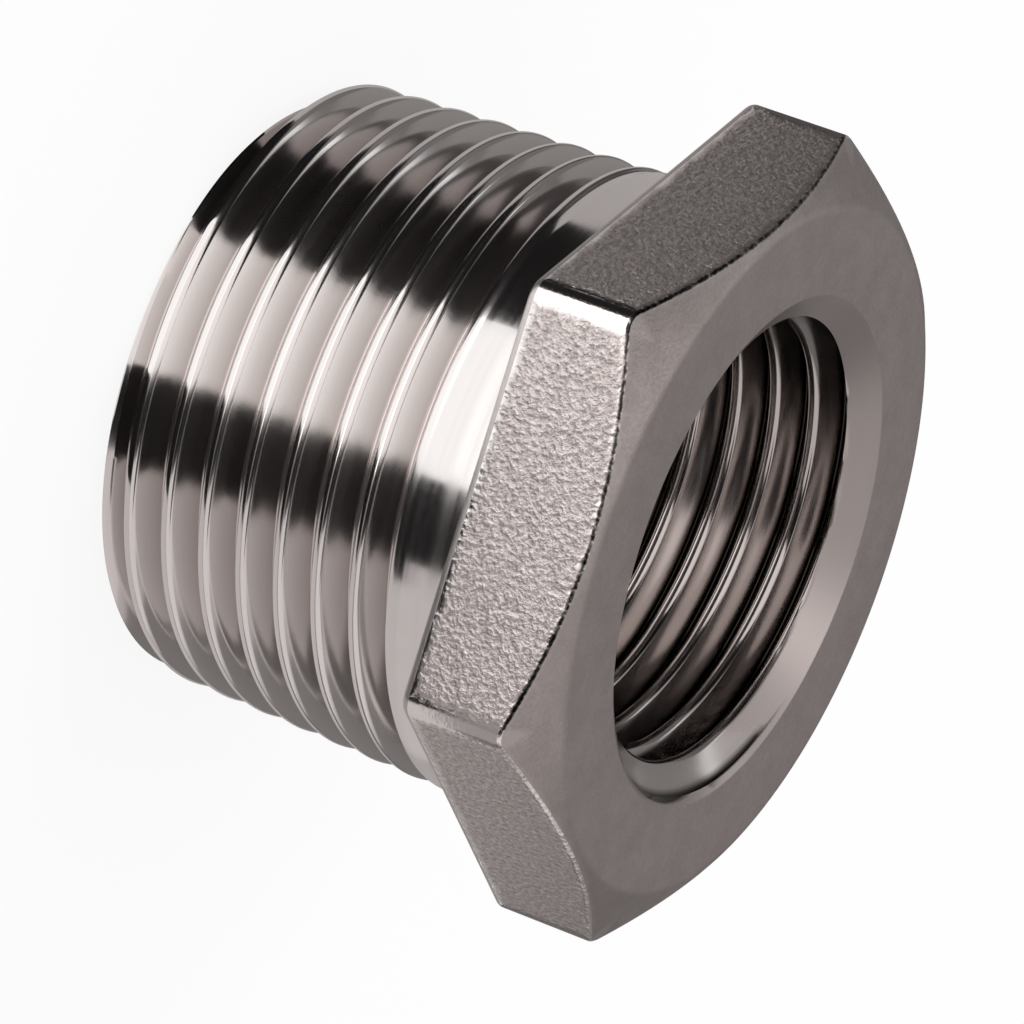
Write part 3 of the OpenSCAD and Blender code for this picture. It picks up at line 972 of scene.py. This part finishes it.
lamp_data = bpy.data.lights.new("soft_lamp", "AREA")
lamp_data.size = LAMP_SIZE
lamp_data.energy = LAMP_WATTS
lamp = bpy.data.objects.new("soft_lamp", lamp_data)
LAMP_STANDS = Vector((-0.4, -0.28, 0.64))
lamp_turn = LAMP_STANDS.to_track_quat("Z", "Y").to_matrix().to_4x4()
lamp.matrix_world = Matrix.Translation(LAMP_STANDS) @ lamp_turn
lamp.visible_glossy = False
bpy.context.scene.collection.objects.link(lamp)
print("lamp at", [round(v, 2) for v in LAMP_STANDS], "m")

# %% [markdown]
# Bare metal has no colour of its own to show: it shows the room. Photographers therefore stand dark and
# light cards round it, and the photograph's black and white bands are such cards, mirrored in the
# threads. The cards here do the same. Only reflections see them: they cast no shadow, and they don't
# show in the picture. Those on the floor are sectors that the barrel mirrors between two angles about
# its axis. Near the bush they serve the threads, farther out the head. The others hang round it as a tent.

# %% One card
WARM = (1.0, 0.935, 0.92, 1)
NEUTRAL = (1.0, 0.985, 0.975, 1)


def new_card(name, points, faces, brightness, colour=WARM):
    """A card that glows evenly and is seen by reflections alone."""
    mesh = bpy.data.meshes.new(name)
    mesh.from_pydata(points, [], faces)
    card = bpy.data.objects.new(name, mesh)
    bpy.context.scene.collection.objects.link(card)
    card.visible_camera = False
    card.visible_diffuse = False
    card.visible_shadow = False
    card.visible_transmission = False
    coat = bpy.data.materials.new(name)
    coat.use_nodes = True
    coat.node_tree.nodes.clear()
    glow = coat.node_tree.nodes.new("ShaderNodeEmission")
    glow.inputs["Color"].default_value = colour
    glow.inputs["Strength"].default_value = brightness
    coat_out = coat.node_tree.nodes.new("ShaderNodeOutputMaterial")
    coat.node_tree.links.new(glow.outputs[0], coat_out.inputs["Surface"])
    mesh.materials.append(coat)


# %% [markdown]
# A card on the floor is given by the two angles about the axis at which the barrel mirrors it, in
# degrees, and by its nearest and farthest distance from the barrel, in millimetres. A mirror turns a ray
# by twice the angle at which it stands, and so does the card's sector. The last number is how bright it is.

# %% Cards on the floor
CAMERA_ANGLE = VIEW_AZIMUTH - math.pi / 2
CARD_LIFT = 0.05 * MM
FOOT_R = CREST_R_AT_END - 1.3 * MM
SECTOR_STEPS = 6


def floor_card(name, first_degrees, last_degrees, near, far, brightness, colour=WARM):
    """A sector of the floor that the barrel mirrors between two angles about its axis."""
    points = []
    for count in range(SECTOR_STEPS + 1):
        at = math.radians(first_degrees + (last_degrees - first_degrees) * count / SECTOR_STEPS)
        heading = 2 * at - CAMERA_ANGLE
        foot = Vector((math.cos(at), math.sin(at), 0)) * FOOT_R
        outwards = Vector((math.cos(heading), math.sin(heading), 0)) * MM
        for end in (foot + outwards * near, foot + outwards * far):
            points.append((end.x, end.y, CARD_LIFT))
    faces = [(2 * n, 2 * n + 1, 2 * n + 3, 2 * n + 2) for n in range(SECTOR_STEPS)]
    new_card(name, points, faces, brightness, colour)


FLOOR_CARDS = (
    ("floor_top", -165, -114, 0, 41, 0.43, WARM),
    ("floor_top_head", -165, -114, 41, 400, 0.07, WARM),
    ("floor_dark_top", -114, -89, 0, 400, 0.01, WARM),
    ("floor_bright", -89, -60, 0, 41, 1.12, NEUTRAL),
    ("floor_bright_head", -89, -58, 41, 400, 2.1, WARM),
    ("floor_dark_low", -60, -41, 0, 33, 0.01, WARM),
    ("floor_dark_low_shank", -60, -45, 33, 41, 0.01, WARM),
    ("floor_dark_low_foot", -58, -45, 41, 43, 0.01, WARM),
    ("floor_corner_low", -58, -45, 43, 400, 0.25, WARM),
    ("floor_corner", -45, -20, 41, 400, 0.3, WARM),
    ("floor_low", -41, 0, 0, 33, 0.54, WARM),
    ("floor_low_shank", -45, 0, 33, 41, 0.58, WARM),
    ("floor_lower_flat", -20, 8, 41, 400, 0.15, WARM),
    ("floor_far_side", 0, 30, 0, 38, 0.42, WARM),
    ("floor_behind", 8, 50, 38, 400, 0.22, WARM),
)
for card in FLOOR_CARDS:
    floor_card(*card)
print(len(FLOOR_CARDS), "cards on the floor")

# %% [markdown]
# The bush stands on the floor, so its waterway would be closed from below, while the photographed one
# was held in the open. Two slices of a disc below the waterway stand for the light that came in there.

# %% Light below the waterway
SLICE_STEPS = 12


def waterway_card(name, first_degrees, last_degrees, brightness):
    """A slice of the floor below the waterway."""
    points = [(0, 0, CARD_LIFT)]
    for count in range(SLICE_STEPS + 1):
        at = math.radians(first_degrees + (last_degrees - first_degrees) * count / SLICE_STEPS)
        points.append((WATERWAY_R * math.cos(at), WATERWAY_R * math.sin(at), CARD_LIFT))
    new_card(name, points, [(0, n, n + 1) for n in range(1, SLICE_STEPS + 1)], brightness)


waterway_card("waterway_light", -185, -50, 1.4)
waterway_card("waterway_dark", -50, 175, 0.02)
print("two cards below the waterway")

# %% [markdown]
# A card of the tent is given by its two compass angles and its two elevations as seen from the bush, in
# degrees. The front face, the cone and the countersink mirror the high cards, and the low ones show in
# the slopes of the threads and in the rounded edges.

# %% Cards in the tent
TENT_R = 0.45
ACROSS_STEPS = 12
UP_STEPS = 4


def tent_card(name, from_degrees, to_degrees, from_elevation, to_elevation, brightness):
    """A curved card that hangs between two compass angles and two elevations."""
    points = []
    for across in range(ACROSS_STEPS + 1):
        heading = math.radians(from_degrees + (to_degrees - from_degrees) * across / ACROSS_STEPS)
        for upwards in range(UP_STEPS + 1):
            lift = math.radians(from_elevation + (to_elevation - from_elevation) * upwards / UP_STEPS)
            out = TENT_R * math.cos(lift)
            points.append((out * math.cos(heading), out * math.sin(heading), TENT_R * math.sin(lift)))
    faces = []
    for across in range(ACROSS_STEPS):
        for upwards in range(UP_STEPS):
            first = across * (UP_STEPS + 1) + upwards
            after = first + UP_STEPS + 1
            faces.append((first, after, after + 1, first + 1))
    new_card(name, points, faces, brightness)


TENT_CARDS = (
    ("tent_upper_flat", -205, -175, 0, 40, 0.17),
    ("tent_upper_flat_high", -175, -163, 0, 75, 0.2),
    ("tent_black_top", -163, -110, 0, 75, 0.01),
    ("tent_white", -110, -54, 0, 75, 1.0),
    ("tent_black_low", -54, -24, 0, 75, 0.01),
    ("tent_black_low_high", -24, 10, 45, 75, 0.05),
    ("tent_right", -24, 50, 0, 45, 0.7),
    ("tent_right_high", 10, 50, 45, 75, 0.7),
    ("tent_right_end", 50, 60, 0, 45, 0.5),
    ("tent_rear_low", 60, 130, 0, 12, 0.2),
    ("tent_rear_right", 60, 95, 12, 45, 0.21),
    ("tent_rear", 95, 130, 12, 45, 0.32),
    ("tent_rear_left", 130, 155, 0, 40, 0.27),
    ("tent_top_front", -175, 50, 75, 90, 0.6),
    ("tent_top_rear_right", 50, 100, 45, 90, 0.46),
    ("tent_top_rear", 100, 135, 45, 90, 0.45),
    ("tent_top_left", 135, 185, 45, 69, 0.55),
    ("tent_top_left_high", 135, 185, 69, 90, 1.45),
)
for card in TENT_CARDS:
    tent_card(*card)
print(len(TENT_CARDS), "cards in the tent")
